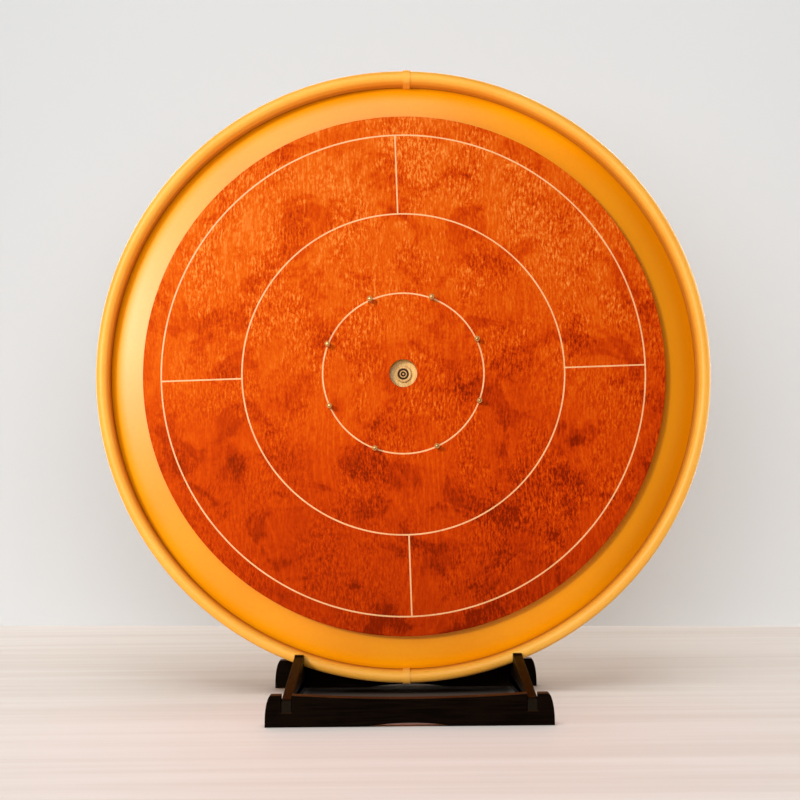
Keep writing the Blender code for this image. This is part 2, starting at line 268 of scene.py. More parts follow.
def revolve(profile, segments, start=0.0, sweep=None, wobble=None):
    # carries the closed (radius, z) profile round z; wobble(index, angle) adds to a point's radius and z
    bm = bmesh.new()
    steps = segments if sweep is None else segments + 1
    rings = []
    for step in range(steps):
        angle = start + (math.tau if sweep is None else sweep) * step / segments
        ring = []
        for index, (radius, z) in enumerate(profile):
            if radius == 0 and step:
                ring.append(rings[0][index])
                continue
            if wobble:
                radius, z = radius + wobble(index, angle)[0], z + wobble(index, angle)[1]
            ring.append(bm.verts.new(onCircle(radius, angle, z)))
        rings.append(ring)
    pairs = list(zip(rings, rings[1:]))
    if sweep is None:
        pairs.append((rings[-1], rings[0]))
    for here, there in pairs:
        for index in range(len(profile)):
            after = (index + 1) % len(profile)
            corners = []
            for vertex in (here[index], here[after], there[after], there[index]):
                if vertex not in corners:
                    corners.append(vertex)
            if len(corners) > 2:
                bm.faces.new(corners)
    if sweep is not None:
        bm.faces.new(rings[0])
        bm.faces.new(rings[-1])
    return bm


def inset(outline, amount):
    # moves each side of a counterclockwise outline inwards
    moved = []
    for index, here in enumerate(outline):
        here = Vector(here)
        before = (here - Vector(outline[index - 1])).normalized()
        after = (Vector(outline[(index + 1) % len(outline)]) - here).normalized()
        across = Vector((-before.y - after.y, before.x + after.x)).normalized()
        lean = max(0.35, across.dot(Vector((-after.y, after.x))))
        moved.append(here + across * amount / lean)
    return moved


def sawn(outline, thickness, ease, facing):
    # a board cut to a counterclockwise (along, z) outline, with both its faces' edges eased
    layers = []
    for turn in (0, 22.5, 45, 67.5, 90):
        angle = math.radians(turn)
        layers.append((ease * (1 - math.sin(angle)), ease * (1 - math.cos(angle))))
    layers += [(amount, thickness - depth) for amount, depth in reversed(layers)]
    bm = bmesh.new()
    rings = []
    for amount, depth in layers:
        ring = []
        for along, z in inset(outline, amount):
            ring.append(bm.verts.new((along, depth, z) if facing == "Y" else (depth, along, z)))
        rings.append(ring)
    for here, there in zip(rings, rings[1:]):
        for index in range(len(outline)):
            after = (index + 1) % len(outline)
            bm.faces.new((here[index], here[after], there[after], there[index]))
    bm.faces.new(rings[0])
    bm.faces.new(rings[-1])
    return bm


print("tools ready")


# camera and studio
studio = {
    "lens": 53.6,
    "cameraPlace": (-0.0050, -1.440, 0.3008),
    "roll": -0.5,  # degrees
    "shift": 0.0625,
    "wallBehind": 0.597,
    "wallTurn": 3.5,  # degrees
    "fill": 0.08,
    "wallColor": (0.787, 0.81, 0.825),
    "floorPale": (0.88, 0.81, 0.755),
    "floorDark": (0.80, 0.715, 0.65),
    "fillColor": (1.0, 0.985, 0.965, 1),
    "reach": 6.0,  # the floor and the wall run this far to each side
    "wallHeight": 5.0,
}

# each light: place, target, size, power and color
lights = {
    "key": ((-1.15, -1.95, 1.02), faceCentre, (0.36, 0.36), 26.5, (1.0, 0.98, 0.95)),
    "window": ((-0.44, -1.36, 1.08), faceCentre, (1.1, 1.3), 11.5, (1.0, 0.99, 0.98)),
    "bounce": ((-0.30, -0.90, 0.05), (0, 0, 0.12), (1.2, 0.4), 2.7, (1.0, 0.84, 0.60)),
    "back": ((0, 0.55, 0.78), (0, 0, 0.78), (2.6, 1.5), 36, (1.0, 0.97, 0.90)),
    "edge": ((1.55, 0.12, 0.72), (0, 0, 0.42), (0.7, 1.1), 9, (1.0, 0.97, 0.90)),
    "rear": ((0.7, 2.4, 1.5), (0, 0, 0.4), (1.4, 1.4), 30, (1.0, 0.98, 0.95)),
    "wall": ((-0.25, -2.3, 1.15), (0, 0.6, 0.9), (3.0, 2.0), 77.5, (1, 1, 1)),
    "floor": ((-0.22, -0.50, 2.4), (0, 0, 0), (2.2, 2.2), 55, (1, 1, 1)),
}

# painted shade: the floor boxed in by the stand is painted near black, standing in for the deep shade there;
# each edge fades from the first value to the second
paintedShadeBox = {
    "middle": 3 * mm,
    "sides": (150 * mm, 120 * mm),
    "front": (-140 * mm, -125 * mm),
    "rear": (145 * mm, 115 * mm),
    "color": (0.05, 0.036, 0.027),
    "depth": 0.97,
}


def aimed(place, target, roll=0.0):
    look = (Vector(target) - Vector(place)).to_track_quat("-Z", "Y").to_matrix().to_4x4()
    return Matrix.Translation(place) @ look @ Matrix.Rotation(math.radians(roll), 4, "Z")


def buildCamera():
    data = bpy.data.cameras.new("camera")
    data.lens = studio["lens"]
    data.shift_y = studio["shift"]
    camera = bpy.data.objects.new("camera", data)
    bpy.context.scene.collection.objects.link(camera)
    ahead = Vector(studio["cameraPlace"]) + Vector((0, 1, 0))
    camera.matrix_world = aimed(studio["cameraPlace"], ahead, studio["roll"])
    bpy.context.scene.camera = camera


def areaLight(name, receivers, blockers):
    place, target, size, power, color = lights[name]
    data = bpy.data.lights.new(name + "Light", "AREA")
    data.shape = "RECTANGLE"
    data.size, data.size_y = size
    data.energy = power
    data.color = color
    light = bpy.data.objects.new(name + "Light", data)
    bpy.context.scene.collection.objects.link(light)
    light.matrix_world = aimed(place, target)
    light.visible_camera = False
    light.light_linking.receiver_collection = receivers
    light.light_linking.blocker_collection = blockers
    return light


def stagePlane(name, corners, finish):
    bm = bmesh.new()
    bm.faces.new([bm.verts.new(corner) for corner in corners])
    mesh = bpy.data.meshes.new(name)
    bm.to_mesh(mesh)
    bm.free()
    mesh.materials.append(finish.material)
    plane = bpy.data.objects.new(name, mesh)
    bpy.context.scene.collection.objects.link(plane)
    plane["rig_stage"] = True
    return plane


def paleFloor():
    finish = Finish("paleFloor", Roughness=0.55, Specular_IOR_Level=0.3)
    streak = finish.grainNoise((1.3, 46, 1), 4, 0.6)
    broad = finish.grainNoise((0.6, 9, 1), 2, 0.5, (3, 1, 0))
    shade = finish.band(streak * 0.6 + broad * 0.4, 0.36, 0.64)
    pale = finish.mix(studio["floorDark"], studio["floorPale"], shade)
    # painted shade: inside the stand's footprint the floor is painted near black
    x, y = finish.parts(finish.place)[:2]
    across = finish.band((x - paintedShadeBox["middle"]).size(), *paintedShadeBox["sides"])
    along = finish.band(y, *paintedShadeBox["front"]) * finish.band(y, *paintedShadeBox["rear"])
    finish.set("Base Color", finish.mix(pale, paintedShadeBox["color"], across * along * paintedShadeBox["depth"]))
    return finish


def paleWall():
    finish = Finish("paleWall", Roughness=0.9, Specular_IOR_Level=0.1)
    cloud = finish.grainNoise((1.4, 1.4, 1.4), 2)
    lighter = [channel * 1.03 for channel in studio["wallColor"]]
    finish.set("Base Color", finish.mix(studio["wallColor"], lighter, cloud))
    # the wall can be seen through from behind
    clear = finish.node("BsdfTransparent")
    behind = finish.node("NewGeometry", output="Backfacing")
    solid = Wire(finish, finish.shader.outputs[0])
    blend = finish.node("MixShader", None, {0: behind, 1: solid, 2: clear})
    finish.feed(finish.tree.nodes["Material Output"].inputs["Surface"], blend)
    return finish


def buildStudio():
    back, reach, high = studio["wallBehind"], studio["reach"], studio["wallHeight"]
    drift = reach * math.tan(math.radians(studio["wallTurn"]))
    corners = [(-reach, -reach, 0), (reach, -reach, 0), (reach, reach, 0), (-reach, reach, 0)]
    stagePlane("floor", corners, paleFloor()).visible_glossy = False
    left, right = (-reach, back + drift), (reach, back - drift)
    stagePlane("wall", [(*left, 0), (*right, 0), (*right, high), (*left, high)], paleWall())
    world = bpy.data.worlds.new("studioWorld")
    bpy.context.scene.world = world
    world.use_nodes = True
    background = world.node_tree.nodes["Background"]
    background.inputs["Color"].default_value = studio["fillColor"]
    background.inputs["Strength"].default_value = studio["fill"]


def buildLights():
    # the object, its board, its rail, the wall and the floor are lit apart; nothing shades the wall
    groups = {}
    for name in ("object", "board", "rail", "wall", "floor", "nothing"):
        groups[name] = bpy.data.collections.new(name + "Lit")
    for name, lit, shading in (
        ("key", "object", "object"),
        ("window", "object", "object"),
        ("bounce", "board", "object"),
        ("back", "rail", "object"),
        ("edge", "rail", "object"),
        ("rear", "object", "object"),
        ("wall", "wall", "nothing"),
        ("floor", "floor", "object"),
    ):
        light = areaLight(name, groups[lit], groups[shading])
        light.visible_glossy = name != "bounce"
    return groups


buildCamera()
buildStudio()
lightGroups = buildLights()
bpy.context.scene.view_settings.view_transform = "Standard"
print("studio set")


# playing surface: stained birch veneer, rings and quarter lines
surface = {
    "radius": 329.2 * mm,
    "offCentre": 1.1 * mm,  # the disc's edge sits this far right of the rings' middle
    "bottom": -12.4 * mm,
    "holeRadius": 17.5 * mm,
    "ease": 0.7 * mm,
    "patternTurn": math.radians(1.5),
    # darker stains in the veneer: middle x and y, half width, half height in mm, and depth
    "stains": [
        (-11, 207, 16, 13, 0.20),
        (66, 8, 24, 36, 0.11),
        (-42, 24, 26, 13, 0.12),
        (-4, -72, 36, 24, 0.12),
        (-143, -108, 30, 18, 0.14),
        (-218, -101, 15, 13, 0.15),
        (216, -86, 11, 8, 0.24),
        (159, -145, 44, 28, 0.12),
        (-74, 295, 44, 13, 0.13),
        (197, 207, 36, 24, 0.10),
        (46, -233, 34, 20, 0.10),
    ],
    "tones": [
        (0.0, (0.22, 0.010, 0.0006)),
        (0.25, (0.45, 0.028, 0.0012)),
        (0.5, (0.62, 0.056, 0.0015)),
        (0.75, (0.74, 0.115, 0.004)),
        (1.0, (0.90, 0.27, 0.045)),
    ],
}


def stainedVeneer():
    finish = Finish("stainedVeneer", Specular_IOR_Level=0.16, Specular_Tint=(1.0, 0.35, 0.04, 1))
    x, y, z = finish.parts(finish.place)
    sway = finish.grainNoise((5, 5, 5), 2) - 0.5
    bent = finish.point(x + sway * 0.03, y, z)
    broad = finish.grainNoise((5, 4, 5), 2, 0.5, (7, 1, 0)) - 0.5
    cloud = finish.grainNoise((13, 16, 11), 4, 0.6, (2, 5, 0), distort=0.8)
    ragged = finish.grainNoise((190, 26, 60), 2, 0.6, (0, 3, 0), bent) - 0.5
    spots = finish.grainNoise((38, 52, 40), 3, 0.55, (4, 8, 0))
    patch = finish.band(finish.grainNoise((15, 9, 17), 3, 0.55, (1, 9, 0)), 0.40, 0.60)
    fine = finish.grainNoise((430, 165, 60), 3, 0.65, (0, 0, 0), bent)
    long = finish.grainNoise((330, 66, 60), 2, 0.6, (6, 0, 0), bent)
    streak = finish.grainNoise((640, 13, 60), 3, 0.6, (4, 0, 0), bent) - 0.5
    # flecks and pores, stronger in patches
    grain = (finish.band(fine, 0.38, 0.64) - 0.5) * (0.12 + 0.27 * patch)
    grain = grain + (finish.band(long, 0.36, 0.66) - 0.5) * (0.13 + 0.17 * patch) + streak * 0.20
    pore = finish.band(finish.grainNoise((420, 170, 60), 2, 0.6, (9, 2, 0), bent), 0.60, 0.70)
    pore = pore * (0.06 + 0.18 * patch)
    # faint arches where the veneer was peeled across the year rings
    figure = finish.grainNoise((7, 1.7, 7), 2, 0.5, (5, 3, 0)) * 150 + fine * 3
    arches = finish.band(figure.wave(), 0.2, 1.0) * (1 - patch) * 0.09
    # stains: clouds with ragged edges, small spots, the placed ones, and the disc's rim
    stain = finish.band(cloud + ragged * 0.22, 0.54, 0.59) * 0.11 + finish.band(cloud, 0.44, 0.70) * 0.18
    stain = stain + finish.band(spots + ragged * 0.2, 0.62, 0.69) * 0.09
    for middleX, middleY, halfWidth, halfHeight, depth in surface["stains"]:
        along = (x - middleX * mm) / (halfWidth * mm) + (spots - 0.5) * 3.0
        up = (y - middleY * mm) / (halfHeight * mm) + (ragged + cloud - 0.5) * 3.0
        stain = stain + finish.band((along * along + up * up).root(), 1.35, 0.5) * depth
    far = finish.fromAxis()
    stain = stain + finish.band(far, 303 * mm, 311 * mm) * 0.06
    # the veneer darkens and calms down towards the lower left
    tide = finish.band(y, -0.30, 0.24) - 0.5
    calm = finish.band(x * 0.6 + y, -0.32, -0.02, 0.6, 1.0)
    tone = 0.54 + tide * 0.44 - x * 0.14 + broad * 0.36 - stain + (grain - pore) * calm + arches
    stained = finish.ramp(tone, surface["tones"])
    # the stain stops at the rim of the hole
    hole = surface["holeRadius"]
    bore = finish.band(far, hole + 0.9 * mm, hole + 0.5 * mm) * finish.band(z, -0.4 * mm, -0.9 * mm)
    finish.set("Base Color", finish.mix(stained, (0.40, 0.21, 0.06), bore))
    finish.set("Roughness", 0.42 + (fine - 0.5) * 0.12 + (cloud - 0.5) * 0.1)
    finish.bump(fine * 0.6 + streak * 0.5, 0.00008)
    return finish


def buildSurface():
    low, ease = surface["bottom"], surface["ease"]
    inner, outer = surface["holeRadius"], surface["radius"]
    corners = [(inner, low, 0), (outer, low, 0.3 * mm), (outer, 0, ease), (inner, 0, ease)]
    profile = fillet(corners, 3)

    def offCentre(index, angle):
        # moves the outer edge only
        outward = surface["offCentre"] * math.cos(angle)
        return (outward if profile[index][0] > outer / 2 else 0, 0)

    bm = revolve(profile, roundSegments, wobble=offCentre)
    meshPiece("playingSurface", bm, veneer, "board", boardPlace, ["playing_surface"])


lines = {
    "rings": (101.6 * mm, 203.2 * mm, 304.8 * mm),
    "width": 1.9 * mm,
    "low": 0.01 * mm,
    "height": 0.12 * mm,
    "bevel": 0.1 * mm,
}


def linePaint():
    finish = Finish("linePaint", Specular_IOR_Level=0.4)
    speck = finish.grainNoise((900, 300, 900), 3, 0.6)
    wear = finish.grainNoise((30, 30, 30), 3, 0.6, (5, 2, 0))
    tone = finish.band(speck * 0.6 + wear * 0.4, 0.35, 0.65)
    finish.set("Base Color", finish.mix((0.84, 0.40, 0.16), (0.98, 0.57, 0.27), tone))
    finish.set("Roughness", 0.5 + (speck - 0.5) * 0.2)
    finish.bump(speck, 0.00003)
    return finish


def buildLines():
    half, low, high, bevel = lines["width"] / 2, lines["low"], lines["height"], lines["bevel"]
    for name, radius in zip(("innerRing", "middleRing", "outerRing"), lines["rings"]):
        section = [(radius - half, low), (radius + half, low)]
        section += [(radius + half - bevel, high), (radius - half + bevel, high)]
        bm = revolve(section, roundSegments)
        meshPiece(name, bm, paintedLine, "board", boardPlace)
    for index, side in enumerate(("Right", "Top", "Left", "Bottom")):
        angle = surface["patternTurn"] + index * math.pi / 2
        start, end = lines["rings"][1] + half * 0.9, lines["rings"][2] - half * 0.9
        outline = [(start, -half), (end, -half), (end, half), (start, half)]
        bm = bmesh.new()
        rings = []
        for amount, z in ((0, low), (bevel, high)):
            rings.append([bm.verts.new((px, py, z)) for px, py in inset(outline, amount)])
        for corner in range(4):
            after = (corner + 1) % 4
            bm.faces.new((rings[0][corner], rings[0][after], rings[1][after], rings[1][corner]))
        bm.faces.new(rings[0])
        bm.faces.new(rings[1])
        place = boardPlace @ Matrix.Rotation(angle, 4, "Z")
        meshPiece("quarterLine" + side, bm, paintedLine, "board", place)


veneer = stainedVeneer()
paintedLine = linePaint()
buildSurface()
buildLines()
print("playing surface and lines built")


# base board: its front is the painted ditch
base = {"radius": 370.5 * mm, "back": -25.4 * mm, "front": -12.7 * mm, "ease": 0.5 * mm}
paint = {
    "bareRadius": 20 * mm,  # the hole shows bare wood, not paint
    "deep": (0.92, 0.315, 0.0006),
    "light": (0.95, 0.355, 0.0010),
    # painted shade colours: creaseShade for the corner under the rail, rightShadeAmber for the ditch's right
    # side
    "creaseShade": (0.50, 0.13, 0.0006),
    "rightShadeAmber": (0.72, 0.26, 0.0005),
    "bareDark": (0.70, 0.40, 0.11),
    "barePale": (0.92, 0.60, 0.21),
}


# the rail: two bent halves, butted at the top and the bottom under a thin band
rail = {
    "inside": 370.8 * mm,
    "width": 14.6 * mm,
    "top": 12.7 * mm,
    "foot": -25.4 * mm,
    "ease": 2.5 * mm,
    "gap": 0.3 * mm,
    "topJoint": math.radians(88.9),
    "bottomJoint": math.radians(-89.9),
    "bandLength": 9 * mm,
    "bandThickness": 1.2 * mm,
}
rail["nose"] = rail["width"] / 2
rail["middle"] = rail["inside"] + rail["nose"]
rail["outside"] = rail["inside"] + rail["width"]


def ditchPaint():
    warm = (1.0, 0.62, 0.05, 1)
    finish = Finish("ditchPaint", Specular_IOR_Level=0.30, Specular_Tint=warm, Coat_Roughness=0.26)
    cloud = finish.grainNoise((9, 9, 9), 3)
    mottle = finish.grainNoise((260, 260, 260), 2, 0.6)
    tone = cloud * 0.7 + mottle * 0.3
    yellow = finish.mix(paint["deep"], paint["light"], finish.band(tone, 0.35, 0.65))
    grain = finish.grainNoise((420, 40, 420), 3, 0.6)
    bare = finish.mix(paint["bareDark"], paint["barePale"], finish.band(grain, 0.35, 0.62))
    far, rim = finish.fromAxis(), base["radius"]
    inHole = finish.band(far, paint["bareRadius"] + 0.6 * mm, paint["bareRadius"])
    # painted shade: the corner under the rail is painted darker brown, and the right side, most of all near
    # the rail, is painted darker amber, standing in for the shade there
    creaseShade = finish.band(far, rim - 6 * mm, rim - 0.5 * mm)
    yellow = finish.mix(yellow, paint["creaseShade"], creaseShade * 0.45)
    rightShade = finish.band(finish.parts(finish.place)[0], 170 * mm, 330 * mm)
    yellow = finish.mix(yellow, paint["rightShadeAmber"], rightShade * 0.9)
    nearRailShade = finish.band(far, rim - 30 * mm, rim - 4 * mm)
    yellow = finish.mix(yellow, paint["creaseShade"], rightShade * nearRailShade * 0.55)
    finish.set("Base Color", finish.mix(yellow, bare, inHole))
    finish.set("Roughness", 0.36 + (mottle - 0.5) * 0.06 + (cloud - 0.5) * 0.06)
    finish.set("Coat Weight", finish.band(far, rim - 5 * mm, rim - 20 * mm))
    finish.bump(mottle, 0.00003)
    return finish


def backWood():
    finish = Finish("backWood", Specular_IOR_Level=0.35)
    x, y, z = finish.parts(finish.place)
    sway = finish.grainNoise((4, 4, 4), 2) - 0.5
    bent = finish.point(x + sway * 0.05, y, z)
    fibre = finish.grainNoise((420, 14, 60), 4, 0.6, (0, 0, 0), bent)
    figure = finish.grainNoise((16, 1.3, 16), 2, 0.5, (3, 0, 0), bent)
    rings = ((figure * 70 + fibre * 2).wave() * 0.5 + 0.5) * 0.3 + fibre * 0.7
    cloud = finish.grainNoise((6, 6, 6), 3)
    tone = finish.band(rings * 0.6 + cloud * 0.4, 0.25, 0.72)
    pale = finish.mix((0.50, 0.31, 0.155), (0.66, 0.46, 0.26), tone)
    knot = finish.band(finish.cells((7, 5, 7), (1, 2, 0)), 0.06, 0.03)  # small knots, far apart
    finish.set("Base Color", finish.mix(pale, (0.30, 0.15, 0.06), knot * 0.7))
    finish.set("Roughness", 0.45 + (fibre - 0.5) * 0.2)
    finish.bump(fibre, 0.00006)
    return finish


def railPaint():
    finish = Finish("railPaint", Specular_IOR_Level=0.65, Specular_Tint=(1.0, 0.9, 0.7, 1))
    cloud = finish.grainNoise((8, 8, 8), 3)
    mottle = finish.grainNoise((220, 220, 220), 2, 0.6)
    tone = finish.band(cloud * 0.7 + mottle * 0.3, 0.35, 0.65)
    yellow = finish.mix((1.0, 0.43, 0.040), (1.0, 0.49, 0.060), tone)
    # painted shade: low down on the inside the rail is painted darker brown, standing in for the shade in
    # the ditch's corner
    inside = finish.band(finish.fromAxis(), rail["middle"], rail["middle"] - 4 * mm)
    low = finish.band(finish.parts(finish.place)[2], 3 * mm, -5 * mm)
    finish.set("Base Color", finish.mix(yellow, paint["creaseShade"], inside * low * 0.6))
    finish.set("Roughness", 0.47 + (mottle - 0.5) * 0.06)
    finish.bump(mottle, 0.00003)
    return finish


def bandPaint():
    finish = Finish("bandPaint", Specular_IOR_Level=0.5, Specular_Tint=(1.0, 0.8, 0.5, 1))
    mottle = finish.grainNoise((300, 300, 300), 3, 0.6)
    finish.set("Base Color", finish.mix((0.98, 0.44, 0.055), (1.0, 0.52, 0.09), mottle))
    finish.set("Roughness", 0.38 + (mottle - 0.5) * 0.08)
    finish.bump(mottle, 0.00004)
    return finish


yellowDitch = ditchPaint()
yellowRail = railPaint()
paleBand = bandPaint()


def buildBase():
    back, front, outer, ease = base["back"], base["front"], base["radius"], base["ease"]
    corners = [(0, back, 0), (outer, back, ease), (outer, front, ease), (0, front, 0)]
    bm = revolve(fillet(corners, 2), roundSegments)
    for face in bm.faces:
        if face.calc_center_median().z < back + 0.1 * mm:
            face.material_index = 1  # the bare back
    meshPiece("baseBoard", bm, [yellowDitch, backWood()], "board", boardPlace, ["base_board"])


def railTop(grow=0.0):
    return arc((rail["middle"], rail["top"] - rail["nose"]), rail["nose"] + grow, 0, 180, 20)


def buildRail():
    split = rail["gap"] / 2 / rail["middle"]
    rightSweep = rail["topJoint"] - rail["bottomJoint"] - 2 * split
    leftSweep = math.tau - rightSweep - 4 * split
    foot = [(rail["inside"], rail["foot"])]
    foot += arc((rail["outside"] - rail["ease"], rail["foot"] + rail["ease"]), rail["ease"], -90, 0, 5)
    for name, node, start, sweep in (
        ("railRight", "rail_right", rail["bottomJoint"] + split, rightSweep),
        ("railLeft", "rail_left", rail["topJoint"] + split, leftSweep),
    ):
        bm = revolve(foot + railTop(), 360, start, sweep)
        meshPiece(name, bm, yellowRail, "board", boardPlace, [node])


def buildBands():
    gap, thick = rail["gap"], rail["bandThickness"]
    outer = railTop(gap + thick)
    inner = railTop(gap)
    low = gap - plyThickness
    section = [(outer[0][0], rail["foot"]), *outer, (outer[-1][0], low)]
    section += [(inner[-1][0], low), *reversed(inner), (inner[0][0], rail["foot"])]
    sweep = rail["bandLength"] / rail["middle"]
    for name, node, angle in (
        ("railBandTop", "rail_joint_top", rail["topJoint"]),
        ("railBandBottom", "rail_joint_bottom", rail["bottomJoint"]),
    ):
        bm = revolve(section, 8, angle - sweep / 2, sweep)
        edges = [edge for edge in bm.edges if edge.calc_face_angle(0) > math.radians(60)]
        bmesh.ops.bevel(bm, geom=edges, offset=0.35 * mm, segments=2, profile=0.6, affect="EDGES")
        meshPiece(name, bm, paleBand, "board", boardPlace, [node])


buildBase()
buildRail()
buildBands()
print("base board and rail built")


# centre button in the hole, with plain turned rings
button = {
    "radius": 10.4 * mm,
    "low": -12.4 * mm,
    "high": -9.0 * mm,
    "dish": 7.5 * mm,
    "dishDepth": 0.8 * mm,
    "ringRadius": 4.0 * mm,
    "ringHalf": 0.6 * mm,
    "ringRise": 0.35 * mm,
    "dotFoot": 1.2 * mm,
    "dotTop": 0.9 * mm,
}


def buttonWood():
    finish = Finish("buttonWood", Specular_IOR_Level=0.08)
    far = finish.fromAxis()
    grain = finish.grainNoise((500, 60, 500), 3, 0.6)
    # everything inside the rim is burnt dark, except a raised ring and a dot
    burnt = finish.band(far, button["dish"] - 0.1 * mm, button["dish"] - 0.6 * mm)
    ring = finish.band((far - button["ringRadius"]).size(), 0.8 * mm, 0.5 * mm)
    dot = finish.band(far, 1.4 * mm, 1.0 * mm)
    pale = finish.mix((0.62, 0.34, 0.12), (0.84, 0.53, 0.22), finish.band(grain, 0.35, 0.65))
    dark = finish.mix((0.018, 0.007, 0.003), (0.060, 0.022, 0.008), grain)
    finish.set("Base Color", finish.mix(pale, dark, burnt * (1 - ring.most(dot))))
    finish.set("Roughness", 0.45 + (grain - 0.5) * 0.2)
    finish.bump(grain, 0.00004)
    return finish


def buildButton():
    low, high, dish = button["low"], button["high"], button["dish"]
    floor = high - button["dishDepth"]
    ring, half, rise = button["ringRadius"], button["ringHalf"], button["ringRise"]
    corners = [(0, low, 0), (button["radius"], low, 0.2 * mm), (button["radius"], high, 1.2 * mm)]
    corners += [(dish, high, 0.3 * mm), (dish - 0.4 * mm, floor, 0.3 * mm), (ring + half, floor, 0.1 * mm)]
    corners += [(ring + half, floor + rise, 0.2 * mm), (ring - half, floor + rise, 0.2 * mm)]
    corners += [(ring - half, floor, 0.1 * mm), (button["dotFoot"], floor, 0.1 * mm)]
    corners += [(button["dotTop"], floor + rise, 0.2 * mm), (0, floor + rise, 0)]
    bm = revolve(fillet(corners, 4), 96)
    meshPiece("centreButton", bm, buttonWood(), "board", boardPlace, ["centre_button"])


# pegs: a steel pin in a tan tube
pegs = {
    "ring": lines["rings"][0],
    "count": 8,
    "bore": 2.1 * mm,
    "radius": 3.1 * mm,
    "top": 14 * mm,
    "low": 0.3 * mm,
}
pin = {"radius": 1.8 * mm, "top": 13.3 * mm, "low": -12.1 * mm}


def pegTube():
    finish = Finish("pegTube", Specular_IOR_Level=0.4)
    fine = finish.grainNoise((900, 900, 300), 3, 0.6)
    finish.set("Base Color", finish.mix((0.50, 0.21, 0.045), (0.72, 0.37, 0.11), fine))
    finish.set("Roughness", 0.5 + (fine - 0.5) * 0.2)
    finish.bump(fine, 0.00006)
    return finish


def brushedSteel(name, dark, light):
    finish = Finish(name, Metallic=1.0)
    fine = finish.grainNoise((1500, 1500, 1500), 3, 0.6)
    finish.set("Base Color", finish.mix(dark, light, fine))
    finish.set("Roughness", 0.34 + (fine - 0.5) * 0.2)
    finish.bump(fine, 0.00003)
    return finish


def buildPegs():
    low, top, bore, wide = pegs["low"], pegs["top"], pegs["bore"], pegs["radius"]
    tube = [(bore, low, 0), (wide, low, 0.1 * mm), (wide, top, 0.5 * mm), (bore, top, 0.2 * mm)]
    thin, foot, tip = pin["radius"], pin["low"], pin["top"]
    rod = [(0, foot, 0), (thin, foot, 0), (thin, tip, 0.5 * mm), (0, tip, 0)]
    tubeFinish = pegTube()
    pinFinish = brushedSteel("pegSteel", (0.62, 0.34, 0.11), (0.85, 0.54, 0.22))
    for index in range(pegs["count"]):
        angle = surface["patternTurn"] + math.tau * (index + 0.5) / pegs["count"]
        place = boardPlace @ Matrix.Translation(onCircle(pegs["ring"], angle))
        number = index + 1
        bm = revolve(fillet(tube, 4), 40)
        meshPiece(f"pegTube{number}", bm, tubeFinish, "board", place, [f"peg_sleeve_{number}"])
        bm = revolve(fillet(rod, 4), 32)
        meshPiece(f"pegPin{number}", bm, pinFinish, "board", place, [f"peg_pin_{number}"])


buildButton()
buildPegs()
print("button and pegs built")


# rubber feet and screws on the back
feet = {
    "ring": 300 * mm,
    "count": 4,
    "radius": 13 * mm,
    "taper": 1.5 * mm,
    "height": 8 * mm,
    "pocket": 4.1 * mm,
    "bore": 2.1 * mm,
    "gap": 0.3 * mm,
    "cone": 2.2 * mm,  # the screw head's seat
}


def footRubber():
    finish = Finish("footRubber", Specular_IOR_Level=0.4)
    fine = finish.grainNoise((700, 700, 700), 3, 0.6)
    dust = finish.band(finish.grainNoise((60, 60, 60), 3, 0.6), 0.5, 0.75)
    finish.set("Base Color", finish.mix((0.012, 0.012, 0.012), (0.05, 0.047, 0.043), dust))
    finish.set("Roughness", 0.7 + (fine - 0.5) * 0.2)
    finish.bump(fine, 0.00012)
    return finish


def buildFeet():
    top = base["back"] - feet["gap"]
    low = top - feet["height"]
    middle = (top + low) / 2
    corners = [(feet["bore"], top, 0), (feet["radius"], top, 0.4 * mm)]
    corners += [(feet["radius"] - feet["taper"], low, 1.4 * mm), (feet["pocket"], low, 0.6 * mm)]
    corners += [(feet["pocket"], middle, 0), (feet["bore"], middle + feet["cone"], 0)]
    rubber = footRubber()
    for index in range(feet["count"]):
        angle = surface["patternTurn"] + math.tau * (index + 0.5) / feet["count"]
        place = boardPlace @ Matrix.Translation(onCircle(feet["ring"], angle))
        bm = revolve(fillet(corners, 5), 64)
        name = f"rubberFoot{index + 1}"
        meshPiece(name, bm, rubber, "board", place, [f"rubber_foot_{index + 1}"])


def finishScrews():
    steel = brushedSteel("screwSteel", (0.42, 0.40, 0.36), (0.66, 0.64, 0.58))
    for name, node in frame["nodes"].items():
        if "screw" in name:
            node.data.materials.clear()
            node.data.materials.append(steel.material)


buildFeet()
finishScrews()
print("feet and screws done")


# stand: two planks and two notched side plates of dark wood
stand = {
    "x": 3 * mm,
    "thickness": 11 * mm,
    "frontY": -145 * mm,
    "rearY": 72 * mm,
    "frontLength": 316 * mm,
    "rearLength": 332 * mm,
    "rearShift": -3 * mm,
    "endHeight": 35 * mm,
    "middleHeight": 30.5 * mm,
    "archHalf": 68 * mm,
    "archRise": 4 * mm,
    "endCurve": 7.4 * mm,
    "endFoot": 4 * mm,
    "spacing": 268 * mm,
    "slotFloor": 16 * mm,
    "gap": 0.3 * mm,
    "ease": 0.9 * mm,
    "noseTop": 30 * mm,
    "noseChamfer": 4 * mm,
    "noseLip": 11 * mm,
    "endSteps": 14,
    "topSteps": 24,
    "archSteps": 32,
    "hornTop": 50 * mm,
    "hornThickness": 10 * mm,
    "backHornTop": 100 * mm,
    "backHornThickness": 14 * mm,
    "clearance": 0.8 * mm,
    "tailY": 145 * mm,
    "tailTop": 24 * mm,
    "tailFoot": 32 * mm,
    "lift": 6 * mm,
}


